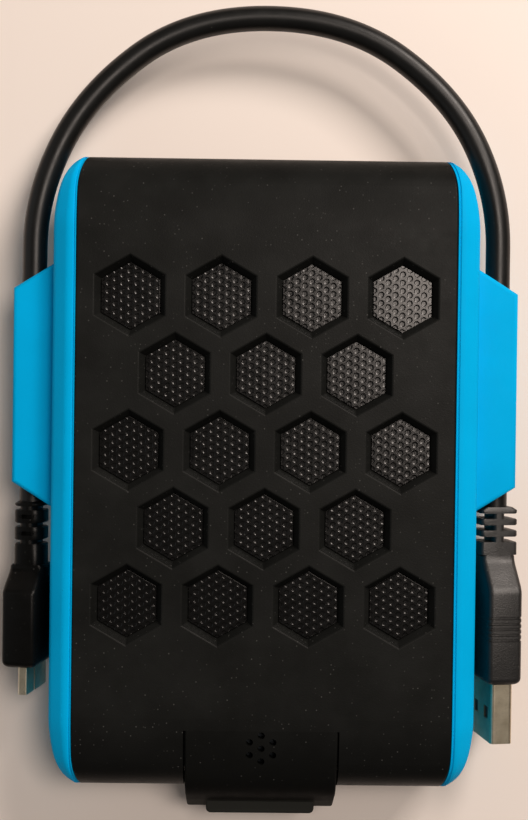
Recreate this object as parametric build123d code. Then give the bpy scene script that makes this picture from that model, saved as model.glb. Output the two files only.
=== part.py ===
from build123d import *
import os
from math import asin, atan, cos, degrees, radians, sin, sqrt, tan

# A rugged portable hard drive lying on its back, in millimetres.
# X runs across the drive, Y along it away from the port, Z up, and the back rests at Z = 0.

# Outer form
end_roll = 8.4
crown_radius = 34.0
crown_run = 15.2
slope_width = 3.1
slope_drop = 2.3
slope_round = 2.0
plan_corner = 8.5
fit = 0.1

# Silicone skins and side bumpers
skin = 2.3
bumper = 2.05
panel_inset = 4.85
panel_corner = 24.0
panel_overrun = 16.0
panel_round = 0.35
bumper_round = 0.7
seam = 0.1

# Hexagonal windows of the front skin, in rows from the far end to the port end
window_rows = (4, 3, 4, 3, 4)
window_pitch = 17.8
window_row_pitch = 15.1
window_middle_y = 4.5
window_rim = 13.8
window_floor = 11.5
window_round = 0.45
pad_height = 0.3
pad_gap = 0.1

# Wings that hold the lead
wing_reach = 8.5
wing_middle_y = 17.0
wing_root_length = 49.4
wing_tip_length = 38.8
wing_height = 9.6
wing_round = 0.9
channel_gap = 0.25
channel_mouth = 4.2

# Port flap, hinged at the front skin
flap_width = 30.0
flap_hinge_inset = 12.8
flap_bend_inset = 2.75
flap_bend_radius = 9.0
flap_slope = 60.0
flap_reach = 6.0
flap_chamfer = 1.1
flap_round = 0.5
flap_gap = 0.3
lip_width = 22.0
lip_reach = 6.65
lip_rise = 0.9
lip_thickness = 2.4
lip_corner = 1.0
lip_round = 0.6
bung_width = 13.6
bung_height = 6.4
bung_depth = 1.2
lamp_inset = 9.25
lamp_ring = 2.65
lamp_hole = 1.4

# Hard case
case_wall = 1.7
case_roll = 3.0
seal_width = 0.8
seal_height = 0.7
boss_radius = 1.6
boss_rows = (30.0, -18.0)
port_boss_side = 7.3
port_boss_inset = 5.0
screw_radius = 0.7
screw_head_radius = 1.25
screw_head = 0.9
screw_recess = 1.0
frame_width = 17.0
frame_height = 8.2
frame_depth = 3.6
recess_margin = 0.9
recess_depth = 1.7

# 2.5-inch disc drive, as large as its discs, head arm and magnets make it
drive_far_gap = 2.6
drive_side_gap = 3.375
drive_over_gap = 2.45
drive_wall = 1.7
drive_floor = 2.4
near_wall = 7.5
cover_gap = 0.5
cover_thickness = 0.8
cover_corner = 2.0
cover_screw_inset = 2.6
cover_screw_near = 3.6
cover_screw_length = 3.0
cover_screw_radius = 0.7
cover_head_radius = 1.3
cover_head = 0.5
platter_radius = 32.5
platter_bore = 10.0
platter_thickness = 0.7
platter_spacing = 1.8
platter_level = 3.8
disc_gap = 0.725
clamp_radius = 12.0
clamp_thickness = 0.7
clamp_screw_radius = 1.0
clamp_head_radius = 2.4
clamp_head = 0.4
hub_flange = 0.5
axle_radius = 2.3
axle_height = 5.2
bearing_gap = 0.2
arm_length = 33.0
arm_back = 40.5
arm_side = 14.0
arm_side_room = 4.0
arm_hub_radius = 5.5
arm_root = 4.4
arm_tip = 1.1
arm_thickness = 0.7
arm_clear = 0.5
pin_radius = 2.0
head_length = 1.2
head_width = 1.0
head_size = 0.25
coil_reach = 15.0
coil_half_angle = 24.0
coil_gap = 0.4
coil_thickness = 1.5
coil_band = 2.4
magnet_thickness = 1.2
upper_magnet_thickness = 0.8
magnet_gap = 0.825
yoke_overhang = 1.6
yoke_thickness = 1.0
park_gap = 1.3
inner_track = 15.0
ramp_gap = 0.5
ramp_width = 3.2
connector_x = -8.0
connector_width = 41.0
connector_depth = 4.8
board_recess = 1.5
drive_board_length = 41.0
drive_board_thickness = 0.8
main_chip = 12.0
main_chip_x = 12.0
main_chip_inset = 18.0
motor_chip = 8.0
motor_chip_x = -12.0
motor_chip_inset = 34.0
drive_chip_height = 0.5
buffer_size = 13.0
buffer_wrap = 4.0

# USB bridge behind the port
socket_width = 12.9
socket_height = 2.7
socket_length = 5.2
socket_wall = 0.25
bridge_room = 14.85
board_thickness = 1.0
board_width = 46.0
tongue_thickness = 0.6
tongue_split_x = 0.4
tongue_split_width = 2.0
connector_length = 4.0
connector_height = 3.6
nose_height = 3.0
nose_gap = 1.2
blade_thickness = 1.2
bridge_chip = 5.0
bridge_chip_x = 16.5
memory_chip = 4.0
memory_chip_x = -17.0
bridge_chip_inset = 3.0
bridge_chip_height = 0.9
led_width = 1.6
led_depth = 0.8
led_height = 0.7
led_gap = 1.4

# Lead and its two plugs
lead_diameter = 5.0
lead_offset = 5.1
lead_start_y = -6.5
lead_bend_inset = 6.0
lead_shoulder_x = 37.6
lead_shoulder_reach = 14.0
lead_crest_x = 16.0
lead_crest_reach = 29.6
lead_sag = 1.5
plug_roll = 9.0
relief_height = 6.6
relief_slot_share = 0.46
relief_slot_span = 3.2
grip_thickness = 7.0
grip_width = 15.6
grip_corner = 1.4
grip_round = 0.8
usb_relief_length = 7.0
usb_relief_width = 7.8
usb_relief_corner = 0.9
usb_relief_spine = 2.4
usb_neck_length = 2.6
usb_shoulder = 7.4
usb_grip_length = 28.1
usb_shell_width = 12.0
usb_shell_thickness = 4.5
usb_shell_length = 12.0
usb_wall = 0.3
usb_tongue_thickness = 1.9
usb_contact_thickness = 0.2
latch_length = 2.4
latch_width = 2.2
latch_inset = 6.2
latch_offset = 2.9
rib_count = 5
rib_pitch = 1.1
rib_inset = 9.0
rib_depth = 0.3
small_relief_length = 8.5
small_relief_width = 6.3
small_relief_corner = 2.0
small_relief_spine = 3.6
small_neck_length = 4.2
small_shoulder = 5.4
small_grip_length = 24.2
small_shell_width = 12.2
small_shell_thickness = 1.85
small_shell_length = 5.5
small_shell_offset = 0.5
small_wall = 0.2
small_step_z = 1.5
small_tongue_thickness = 0.5
shell_seat = 4.0

os.makedirs("parts", exist_ok=True)

under_skin = skin + fit
cavity = under_skin + case_wall
drive_width = 2 * (platter_radius + disc_gap + drive_wall)
arm_room_length = arm_back + coil_reach + yoke_overhang + magnet_gap
drive_length = drive_width / 2 + arm_room_length + near_wall
disc_stack = 2 * platter_thickness + platter_spacing
drive_height = platter_level + disc_stack + arm_clear + arm_thickness + cover_gap + cover_thickness
case_width = drive_width + 2 * (drive_side_gap + case_wall)
body_width = case_width + 2 * bumper
body_length = drive_length + drive_far_gap + bridge_room + 2 * cavity
body_height = drive_height + 2 * (drive_over_gap + cavity)
panel_width = body_width - 2 * panel_inset
half_length = body_length / 2
half_width = body_width / 2
middle = body_height / 2
crown_start = half_length - crown_run
roll_height = middle - crown_radius + sqrt((crown_radius - end_roll) ** 2 - (crown_run - end_roll) ** 2)
case_half = case_width / 2
room_half = case_half - case_wall
flap_hinge_y = -half_length + flap_hinge_inset
flap_bend_y = -half_length + flap_bend_inset
lamp_y = -half_length + lamp_inset
lead_x = half_width + lead_offset


def block(x0, x1, y0, y1, z0, z1):
    """A box between six limits."""
    return Pos((x0 + x1) / 2, (y0 + y1) / 2, (z0 + z1) / 2) * Box(x1 - x0, y1 - y0, z1 - z0)


def rod(x, y, z0, z1, radius):
    """An upright round bar."""
    return Pos(x, y, (z0 + z1) / 2) * Cylinder(radius, z1 - z0)


def ring(x, y, z0, z1, radius, bore):
    """An upright round bar with a hole along it."""
    return rod(x, y, z0, z1, radius) - rod(x, y, z0, z1, bore)


def sector(x, y, z0, z1, inner, outer, first, last):
    """Part of a flat ring between two angles in degrees."""
    arcs = [CenterArc((0, 0), outer, first, last - first), CenterArc((0, 0), inner, first, last - first)]
    sides = [Line(arcs[0] @ 0, arcs[1] @ 0), Line(arcs[0] @ 1, arcs[1] @ 1)]
    return Pos(x, y, z0) * extrude(make_face(arcs + sides), z1 - z0)


def crown_z(y):
    """Height of the front's crown, carried on past the rolled end."""
    run = abs(y) - crown_start
    return body_height - crown_radius + sqrt(crown_radius**2 - run**2)


def side_outline(inset):
    """Outline of the body seen from the side, about its middle and moved inwards."""
    crown_centre = Vector(crown_start, middle - crown_radius)
    roll_centre = Vector(half_length - end_roll, roll_height)
    meet_way = (roll_centre - crown_centre).normalized()
    crown_way = (Vector(0, 1) + meet_way).normalized()
    roll_way = (Vector(1, 0) + meet_way).normalized()
    top = Vector(crown_start, middle - inset)
    crown_mid = crown_centre + crown_way * (crown_radius - inset)
    meet = crown_centre + meet_way * (crown_radius - inset)
    roll_mid = roll_centre + roll_way * (end_roll - inset)
    end = Vector(half_length - inset, roll_height)
    edges = []
    for along in (1, -1):
        for up in (1, -1):
            corner = [(p.X * along, p.Y * up) for p in (top, crown_mid, meet, roll_mid, end)]
            edges.append(ThreePointArc(*corner[0:3]))
            edges.append(ThreePointArc(*corner[2:5]))
        edges.append(Line((end.X * along, roll_height), (end.X * along, -roll_height)))
        edges.append(Line((-crown_start, top.Y * along), (crown_start, top.Y * along)))
    return make_face(edges)


def slab(inset, half):
    """The side outline, moved inwards, drawn out to half a width each way."""
    return Pos(0, 0, middle) * extrude(Plane.YZ * side_outline(inset), half, both=True)


def panel_block(grow):
    """A tall block over the area of the black panels, larger by grow."""
    length = body_length + 2 * (panel_overrun + grow)
    outline = RectangleRounded(panel_width + 2 * grow, length, panel_corner + grow)
    return Pos(0, 0, -1) * extrude(outline, body_height + 2)


def rim_ring(edge, width, height):
    """A flat ring in the middle of the case's rim, edge from its outer face."""
    rims = []
    for inset in (edge, edge + width):
        case_length = body_length - 2 * under_skin
        rims.append(RectangleRounded(2 * (case_half - inset), case_length - 2 * inset, case_roll - inset))
    return Pos(0, 0, middle - height) * extrude(rims[0] - rims[1], height)


def hexagon(across_flats):
    """A hexagon with two points along Y."""
    return RegularPolygon(across_flats / 2, 6, major_radius=False, rotation=30)


def window_places():
    """Middles of the hexagonal windows."""
    places = []
    for row, count in enumerate(window_rows):
        y = window_middle_y + window_row_pitch * ((len(window_rows) - 1) / 2 - row)
        for column in range(count):
            places.append((window_pitch * (column - (count - 1) / 2), y))
    return places


def rolled_slab(inset, half, roll):
    """The same slab with its two flat sides rolled over."""
    square = slab(inset, half)
    return fillet(square.faces().filter_by(Axis.X).edges(), roll)


def wall_rims(form, nearest, farthest):
    """Edges round the upright walls between panels and bumpers, without the seams of the walls."""
    rims = form.edges().filter_by(lambda edge: nearest < abs(edge.center().X) < farthest)
    uprights = rims.filter_by(Axis.Z).filter_by(lambda edge: abs(edge.center().Y) < half_length - fit)
    return rims - uprights


# Whole forms that the pieces are cut from, with sloping edges along both sides
slope_x = half_width - slope_width
slope_z = body_height - slope_drop
side_section = Polygon(
    (slope_x, 0),
    (half_width, slope_drop),
    (half_width, slope_z),
    (slope_x, body_height),
    (-slope_x, body_height),
    (-half_width, slope_z),
    (-half_width, slope_drop),
    (-slope_x, 0),
    align=None,
)
side_section = fillet(side_section.vertices(), slope_round)
long_form = slab(0, half_width) & extrude(Plane.XZ * side_section, body_length, both=True)
plan_block = extrude(RectangleRounded(body_width, body_length, plan_corner), body_height)
case_form = rolled_slab(under_skin, case_half, case_roll)
case_room = slab(cavity, room_half)
upper_half = block(-body_width, body_width, -body_length, body_length, middle, 2 * body_height)
lower_half = block(-body_width, body_width, -body_length, body_length, -body_height, middle)
nodes = {}

# Side view of the port flap
hinge_z = crown_z(flap_hinge_y)
bend_z = crown_z(flap_bend_y)
bend_tilt = asin((abs(flap_bend_y) - crown_start) / crown_radius)
bend_centre_y = flap_bend_y + flap_bend_radius * sin(bend_tilt)
bend_centre_z = bend_z - flap_bend_radius * cos(bend_tilt)


def bend_point(tilt):
    """Point of the flap's bend where it slopes by tilt."""
    return (bend_centre_y - flap_bend_radius * sin(tilt), bend_centre_z + flap_bend_radius * cos(tilt))


def above_foot(edge):
    """True for an edge of the flap's crown, bend or slope."""
    return edge.center().Z > foot_z and edge.center().Y < flap_hinge_y - fit


slope = radians(flap_slope)
slope_top = bend_point(slope)
foot_y = -half_length - flap_reach
foot_z = slope_top[1] - (slope_top[0] - foot_y) * tan(slope)
flap_foot = foot_z - flap_chamfer
crown_half_y = (flap_hinge_y + flap_bend_y) / 2

# Front and back skins
panel_form = long_form & panel_block(0)
panel_form = fillet(wall_rims(panel_form, panel_width / 4, panel_width / 2 + seam), panel_round)
skins = (panel_form & plan_block) - slab(skin, half_width)
notch_half = flap_width / 2 + flap_gap
notch_foot = flap_foot - flap_gap
flap_notch = block(-notch_half, notch_half, -body_length, flap_hinge_y, notch_foot, 2 * body_height)
window_depth = skin + 2 * fit
window_taper = -degrees(atan((window_rim - window_floor) / 2 / skin))
front_skin = (skins & upper_half) - flap_notch
for x, y in window_places():
    floor_face = Pos(x, y, body_height - skin) * hexagon(window_floor)
    front_skin -= extrude(floor_face, window_depth, taper=window_taper)
top_edges = front_skin.edges().filter_by(Plane.XY).group_by(Axis.Z)[-1]
window_rims = top_edges.filter_by(lambda edge: edge.length < window_rim)
nodes["front_skin"] = fillet(window_rims, window_round)
nodes["back_skin"] = (skins & lower_half) - flap_notch

# Port flap: a crown that bends down to a sloping foot, a pull lip, and a bung for the port
flap_edges = [
    ThreePointArc((flap_hinge_y, hinge_z), (crown_half_y, crown_z(crown_half_y)), (flap_bend_y, bend_z)),
    ThreePointArc((flap_bend_y, bend_z), bend_point((bend_tilt + slope) / 2), slope_top),
    Polyline(
        slope_top,
        (foot_y, foot_z),
        (foot_y + flap_chamfer, flap_foot),
        (flap_hinge_y, flap_foot),
        (flap_hinge_y, hinge_z),
    ),
]
flap = extrude(Plane.YZ * make_face(flap_edges), flap_width / 2, both=True)
flap_rims = flap.faces().filter_by(Axis.X).edges().filter_by(above_foot)
flap = fillet(flap_rims, flap_round)
flap -= slab(skin - fit, half_width)
lip_y = -half_length - lip_reach
lip_plan = Pos(0, (lip_y - half_length) / 2) * RectangleRounded(lip_width, lip_reach, lip_corner)
lip = extrude(lip_plan, lip_thickness)
lip = fillet(lip.edges().filter_by(Plane.XY), lip_round)
flap += Pos(0, 0, middle + lip_rise - lip_thickness) * lip
case_end = -half_length + under_skin
bung_root = case_end - 2 * fit
bung_tip = case_end + bung_depth
bung_side = Polygon(
    (bung_root, middle + bung_height / 2),
    (bung_tip, middle + bung_height / 2 - (bung_tip - bung_root)),
    (bung_tip, middle - bung_height / 2),
    (bung_root, middle - bung_height / 2),
    align=None,
)
flap += extrude(Plane.YZ * bung_side, bung_width / 2, both=True)
lamp_holes = [(0, lamp_y)]
for step in range(6):
    angle = radians(60 * step + 30)
    lamp_holes.append((lamp_ring * cos(angle), lamp_y + lamp_ring * sin(angle)))
for x, y in lamp_holes:
    flap -= rod(x, y, middle, 2 * body_height, lamp_hole / 2)
nodes["port_flap"] = flap

# Side bumpers, each with the wing that holds the lead
wing_tip_x = half_width + wing_reach
wing_root_x = half_width - skin
wing_plan = Polygon(
    (wing_root_x, wing_middle_y - wing_root_length / 2),
    (half_width, wing_middle_y - wing_root_length / 2),
    (wing_tip_x, wing_middle_y - wing_tip_length / 2),
    (wing_tip_x, wing_middle_y + wing_tip_length / 2),
    (half_width, wing_middle_y + wing_root_length / 2),
    (wing_root_x, wing_middle_y + wing_root_length / 2),
    align=None,
)
wing = Pos(0, 0, middle) * extrude(wing_plan, wing_height / 2, both=True)
wing_rims = wing.edges().filter_by(Plane.XY).filter_by(lambda edge: edge.center().X > half_width)
wing = fillet(wing_rims, wing_round)
bore_radius = lead_diameter / 2 + channel_gap
lead_bore = Pos(lead_x, 0, middle) * Rot(90, 0, 0) * Cylinder(bore_radius, 2 * body_length)
mouth_half = channel_mouth / 2
lead_mouth = block(
    lead_x, 2 * wing_tip_x, -body_length, body_length, middle - mouth_half, middle + mouth_half
)
right_side = block(0, body_width, -body_length, body_length, -1, 2 * body_height)
right_bumper = (long_form & right_side) - panel_block(seam)
right_bumper = fillet(wall_rims(right_bumper, 0, panel_width / 2 + 2 * seam), bumper_round)
right_bumper = (right_bumper & plan_block) + wing
right_bumper -= rolled_slab(skin, case_half + fit, case_roll + fit)
right_bumper = right_bumper - lead_bore - lead_mouth
nodes["right_bumper"] = right_bumper
nodes["left_bumper"] = mirror(right_bumper, Plane.YZ)

# Places inside the case
drive_far = half_length - cavity - drive_far_gap
drive_near = drive_far - drive_length
drive_base_z = middle - drive_height / 2
drive_top_z = middle + drive_height / 2
boss_x = room_half - boss_radius / 2
boss_places = [(side * boss_x, y) for side in (1, -1) for y in boss_rows]
port_boss_y = -half_length + cavity + port_boss_inset
boss_places += [(side * (room_half - port_boss_side), port_boss_y) for side in (1, -1)]
frame_hole = block(
    -frame_width / 2,
    frame_width / 2,
    -body_length,
    -half_length + cavity + 1,
    middle - frame_height / 2,
    middle + frame_height / 2,
)
guide_radius = lamp_ring + lamp_hole / 2 + 0.3

# Hard case in two halves
case_wall_form = case_form - case_room
case_top = case_wall_form & upper_half
for x, y in window_places():
    pad = Pos(x, y, body_height - under_skin) * hexagon(window_floor - 2 * pad_gap)
    case_top += extrude(pad, pad_height)
case_bottom = case_wall_form & lower_half
for x, y in boss_places:
    post = rod(x, y, 0, body_height, boss_radius) & case_form
    case_top += post & upper_half
    case_bottom += post & lower_half
    case_top -= rod(x, y, middle, middle + 5.0, screw_radius + fit / 2)
    case_bottom -= rod(x, y, 0, middle, screw_radius + fit)
    case_bottom -= rod(x, y, 0, under_skin + screw_recess + screw_head, screw_head_radius + fit)
case_top -= frame_hole
case_bottom -= frame_hole
case_top -= rod(0, lamp_y, middle, body_height, guide_radius + fit / 2)
seal_edge = (case_wall - seal_width) / 2
case_bottom -= rim_ring(seal_edge - fit / 2, seal_width + fit, seal_height)
nodes["case_top"] = case_top
nodes["case_bottom"] = case_bottom
nodes["case_seal"] = rim_ring(seal_edge, seal_width, seal_height) - frame_hole
screws = []
for x, y in boss_places:
    head_z = under_skin + screw_recess
    head = rod(x, y, head_z, head_z + screw_head, screw_head_radius)
    screws.append(head + rod(x, y, head_z, middle + 4.5, screw_radius))
nodes["case_screws"] = Compound(screws)

# Port frame: a shallow recess for the flap's bung, then the slot for the plug
frame_half = frame_width / 2 - fit
frame_half_z = frame_height / 2 - fit
port_frame = case_form & block(
    -frame_half, frame_half, case_end, case_end + frame_depth, middle - frame_half_z, middle + frame_half_z
)
recess_x = frame_half - recess_margin
recess_z = frame_half_z - recess_margin / 2
port_frame -= block(
    -recess_x, recess_x, case_end - 1, case_end + recess_depth, middle - recess_z, middle + recess_z
)
slot_x = socket_width / 2 + fit
slot_z = socket_height / 2 + fit
socket_slot = block(-slot_x, slot_x, case_end, case_end + 2 * frame_depth, middle - slot_z, middle + slot_z)
nodes["port_frame"] = port_frame - socket_slot

# USB bridge: board, socket, chips, lamp and the connector to the disc drive
socket_front = case_end + recess_depth
socket_back = socket_front + socket_length
board_top = middle - socket_height / 2
board_front = case_end + frame_depth + fit
board_back = drive_near - fit
half_socket = socket_width / 2
half_board = board_width / 2
nodes["bridge_board"] = block(
    -half_board, half_board, board_front, board_back, board_top - board_thickness, board_top
)
socket_body = block(
    -half_socket, half_socket, socket_front, socket_back, board_top, board_top + socket_height
)
socket_room = block(
    -half_socket + socket_wall,
    half_socket - socket_wall,
    socket_front - 1,
    socket_back - 2 * socket_wall,
    board_top + socket_wall,
    board_top + socket_height - socket_wall,
)
nodes["usb_socket"] = socket_body - socket_room
tongue_back = socket_back - 2 * socket_wall
tongue_half = tongue_thickness / 2
tongue_reach = half_socket - 2 * socket_wall
tongue_front = socket_front + tongue_thickness
tongue_slab = block(
    -tongue_reach, tongue_reach, tongue_front, tongue_back, middle - tongue_half, middle + tongue_half
)
tongue_split = Pos(tongue_split_x, 0, 0) * Box(tongue_split_width, 2 * body_length, 2 * body_height)
nodes["usb_socket_tongue"] = Compound((tongue_slab - tongue_split).solids())
connector_half = connector_width / 2
nose_half = connector_half - 4 * fit
connector_back = board_back - connector_length
connector_nose = drive_near + connector_depth - nose_gap
connector_top = board_top + connector_height
bridge_connector = block(
    -half_board, connector_x + nose_half, connector_back, board_back, board_top, connector_top
)
bridge_nose = block(
    connector_x - nose_half + 5.0,
    connector_x + nose_half,
    connector_back,
    connector_nose,
    board_top,
    board_top + nose_height,
)
blade_half = blade_thickness / 2
blade_z = board_top + nose_height / 2
blade_slot = block(
    connector_x - nose_half + 6.0,
    connector_x + nose_half - 1.0,
    drive_near,
    connector_nose,
    blade_z - blade_half - fit,
    blade_z + blade_half + fit,
)
nodes["bridge_connector"] = bridge_connector + bridge_nose - blade_slot
led_y = socket_back + led_gap
nodes["status_led"] = Pos(0, led_y, board_top + led_height / 2) * Box(led_width, led_depth, led_height)


def chip(x, y, foot, size, height):
    """A square chip on its board."""
    return Pos(x, y, foot + height / 2) * Box(size, size, height)


chip_y = board_front + bridge_chip_inset
nodes["bridge_chips"] = Compound(
    [
        chip(bridge_chip_x, chip_y, board_top, bridge_chip, bridge_chip_height),
        chip(memory_chip_x, chip_y, board_top, memory_chip, bridge_chip_height),
    ]
)
guide_foot = middle + frame_height / 2 + 3 * fit
guide_leg = guide_foot - (board_top + led_height + 3 * fit)
light_guide = rod(0, lamp_y, guide_foot, body_height, guide_radius) & case_form
light_guide += Pos(0, led_y, guide_foot + led_height - guide_leg / 2) * Box(
    led_width + 2 * fit, led_depth + 4 * fit, guide_leg + 2 * led_height
)
nodes["light_guide"] = light_guide

# Casting and lid of the disc drive
half_drive = drive_width / 2
spindle_y = drive_far - half_drive
pivot_y = spindle_y - arm_back
room_floor = drive_base_z + drive_floor
cover_under = drive_top_z - cover_thickness
drive_block = block(-half_drive, half_drive, drive_near, drive_far, drive_base_z, cover_under)
disc_room = rod(0, spindle_y, room_floor, drive_top_z, platter_radius + disc_gap)
arm_room = block(
    -half_drive + arm_side_room,
    half_drive - drive_wall,
    drive_near + near_wall,
    spindle_y,
    room_floor,
    drive_top_z,
)
board_far = drive_near + connector_depth + drive_board_length + 2 * fit
drive_base = drive_block - disc_room - arm_room
drive_base -= block(
    -half_drive + drive_wall, half_drive - drive_wall, drive_near, board_far, 0, drive_base_z + board_recess
)
drive_base -= block(
    connector_x - connector_half,
    connector_x + connector_half,
    drive_near,
    drive_near + connector_depth,
    0,
    connector_top + 6 * fit,
)
axle_top = drive_base_z + axle_height
drive_base += rod(0, spindle_y, room_floor, axle_top, axle_radius)
cover_screw_x = half_drive - cover_screw_inset
cover_screw_rows = (drive_near + cover_screw_near, drive_far - cover_screw_inset)
cover_screw_places = [(side * cover_screw_x, y) for side in (1, -1) for y in cover_screw_rows]
cover_plate = block(-half_drive, half_drive, drive_near, drive_far, cover_under, drive_top_z)
cover_plate = fillet(cover_plate.edges().filter_by(Axis.Z), cover_corner)
screw_foot = cover_under - cover_screw_length
head_foot = drive_top_z - cover_head
cover_screws = []
for x, y in cover_screw_places:
    drive_base -= rod(x, y, screw_foot, cover_under, cover_screw_radius + fit / 2)
    cover_plate -= rod(x, y, cover_under, drive_top_z, cover_screw_radius + fit)
    cover_plate -= rod(x, y, head_foot, drive_top_z, cover_head_radius + fit)
    head = rod(x, y, head_foot, drive_top_z, cover_head_radius)
    cover_screws.append(head + rod(x, y, screw_foot, drive_top_z - cover_head / 2, cover_screw_radius))
nodes["drive_base"] = drive_base
nodes["drive_cover"] = cover_plate
nodes["cover_screws"] = Compound(cover_screws)

# What turns on the spindle
lower_level = drive_base_z + platter_level
spacer_level = lower_level + platter_thickness
upper_level = spacer_level + platter_spacing
clamp_level = upper_level + platter_thickness
hub_radius = platter_bore - fit / 2
clamp_top = clamp_level + clamp_thickness
hub = rod(0, spindle_y, lower_level - hub_flange, lower_level, clamp_radius)
hub += rod(0, spindle_y, lower_level, clamp_level - fit, hub_radius)
hub -= rod(0, spindle_y, 0, axle_top + bearing_gap, axle_radius + bearing_gap)
hub -= rod(0, spindle_y, axle_top + 2 * bearing_gap, body_height, clamp_screw_radius + fit / 2)
nodes["spindle_hub"] = hub
nodes["lower_platter"] = ring(0, spindle_y, lower_level, spacer_level, platter_radius, platter_bore)
nodes["platter_spacer"] = ring(0, spindle_y, spacer_level, upper_level, clamp_radius, platter_bore)
nodes["upper_platter"] = ring(0, spindle_y, upper_level, clamp_level, platter_radius, platter_bore)
nodes["disc_clamp"] = ring(0, spindle_y, clamp_level, clamp_top, clamp_radius, clamp_screw_radius + fit)
clamp_screw = rod(0, spindle_y, axle_top + 3 * bearing_gap, clamp_top, clamp_screw_radius)
nodes["clamp_screw"] = clamp_screw + rod(0, spindle_y, clamp_top, clamp_top + clamp_head, clamp_head_radius)

# Head arm, parked beside the discs, and what drives it
pivot_gap = sqrt(arm_side**2 + arm_back**2)


def swing(track):
    """Angle at the pivot between the spindle and a head at this distance from the spindle."""
    cosine = (pivot_gap**2 + arm_length**2 - track**2) / (2 * pivot_gap * arm_length)
    return 90 - degrees(asin(cosine))


park_radius = platter_radius + park_gap
spindle_way = 90 + degrees(atan(arm_side / arm_back))
park_way = spindle_way + swing(park_radius)
arm_swing = swing(park_radius) - swing(inner_track)
arm_levels = (
    lower_level - arm_clear - arm_thickness,
    spacer_level + (platter_spacing - arm_thickness) / 2,
    clamp_level + arm_clear,
)
arm_frame = Pos(arm_side, pivot_y, 0) * Rot(0, 0, park_way)
hub_foot = arm_levels[0]
hub_head = arm_levels[2] + arm_thickness
arm_plan = Polygon(
    (0, -arm_root), (arm_length, -arm_tip), (arm_length, arm_tip), (0, arm_root), align=None
)
actuator = rod(0, 0, hub_foot, hub_head, arm_hub_radius)
head = Box(head_length, head_width, head_size)
head_solids = []
for place, level in enumerate(arm_levels):
    actuator += Pos(0, 0, level) * extrude(arm_plan, arm_thickness)
    if place > 0:
        head_solids.append(Pos(arm_length - head_length, 0, level - head_size / 2) * head)
    if place < 2:
        head_solids.append(Pos(arm_length - head_length, 0, level + arm_thickness + head_size / 2) * head)
actuator -= rod(0, 0, 0, body_height, pin_radius + bearing_gap)
coil_level = arm_levels[1] - (coil_thickness - arm_thickness) / 2
coil_top = coil_level + coil_thickness
coil_inner = arm_hub_radius + coil_gap
coil_first = 180 - coil_half_angle
coil_last = 180 + coil_half_angle
coil = sector(0, 0, coil_level, coil_top, coil_inner, coil_reach, coil_first, coil_last)
coil_eye = (coil_inner + coil_band, coil_reach - coil_band, coil_first + 9, coil_last - 9)
coil -= sector(0, 0, coil_level, coil_top, *coil_eye)
seat_inner = (pin_radius + arm_hub_radius) / 2
coil_seat = sector(0, 0, coil_level, coil_top, seat_inner, coil_inner, coil_first + 6, coil_last - 6)
nodes["actuator_arm"] = arm_frame * (actuator + coil_seat)
nodes["voice_coil"] = arm_frame * coil
nodes["read_heads"] = Compound([arm_frame * head for head in head_solids])
nodes["pivot_post"] = rod(arm_side, pivot_y, room_floor, hub_head + bearing_gap, pin_radius)
yoke_outer = coil_reach + yoke_overhang
yoke_inner = arm_hub_radius + yoke_overhang
coil_start = park_way - 180 + coil_half_angle
coil_end = park_way - 180 - arm_swing - coil_half_angle
yoke_first = coil_end - 14
yoke_last = coil_start + 14
yoke_top = cover_under - cover_gap
yoke_under = yoke_top - yoke_thickness
magnet_yoke = sector(arm_side, pivot_y, yoke_under, yoke_top, yoke_inner, yoke_outer, yoke_first, yoke_last)
magnet_yoke += sector(
    arm_side, pivot_y, room_floor, yoke_top, coil_reach + 2 * fit, yoke_outer, yoke_first, yoke_first + 7
)
magnet_yoke += sector(
    arm_side, pivot_y, room_floor, yoke_top, coil_reach + 2 * fit, yoke_outer, yoke_last - 7, yoke_last
)
nodes["magnet_yoke"] = magnet_yoke
magnet_shape = (yoke_inner, coil_reach, coil_end, coil_start)
magnet_top = room_floor + magnet_thickness
nodes["lower_magnet"] = sector(arm_side, pivot_y, room_floor, magnet_top, *magnet_shape)
upper_magnet_foot = yoke_under - upper_magnet_thickness
nodes["upper_magnet"] = sector(arm_side, pivot_y, upper_magnet_foot, yoke_under, *magnet_shape)
ramp_inner = arm_length + ramp_gap
ramp_shape = (ramp_inner, ramp_inner + ramp_width, park_way + 1, park_way + 11)
nodes["parking_ramp"] = sector(arm_side, pivot_y, room_floor, clamp_level + arm_clear, *ramp_shape)

# Circuit board of the disc drive and its connector
nodes["drive_board"] = block(
    -half_drive + drive_wall + fit,
    half_drive - drive_wall - fit,
    drive_near + connector_depth + fit,
    board_far - fit,
    drive_base_z + fit,
    drive_base_z + fit + drive_board_thickness,
)
chip_foot = drive_base_z + fit + drive_board_thickness
nodes["drive_chips"] = Compound(
    [
        chip(main_chip_x, drive_near + main_chip_inset, chip_foot, main_chip, drive_chip_height),
        chip(motor_chip_x, drive_near + motor_chip_inset, chip_foot, motor_chip, drive_chip_height),
    ]
)
blade = block(
    connector_x - nose_half + 6.0 + fit,
    connector_x + nose_half - 1.0 - fit,
    drive_near + 6 * fit,
    drive_near + connector_depth,
    blade_z - blade_half,
    blade_z + blade_half,
)
connector_root = block(
    connector_x - connector_half + fit,
    connector_x + connector_half - fit,
    connector_nose + fit,
    drive_near + connector_depth,
    chip_foot + fit,
    connector_top + 4 * fit,
)
nodes["drive_connector"] = blade + connector_root

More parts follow.
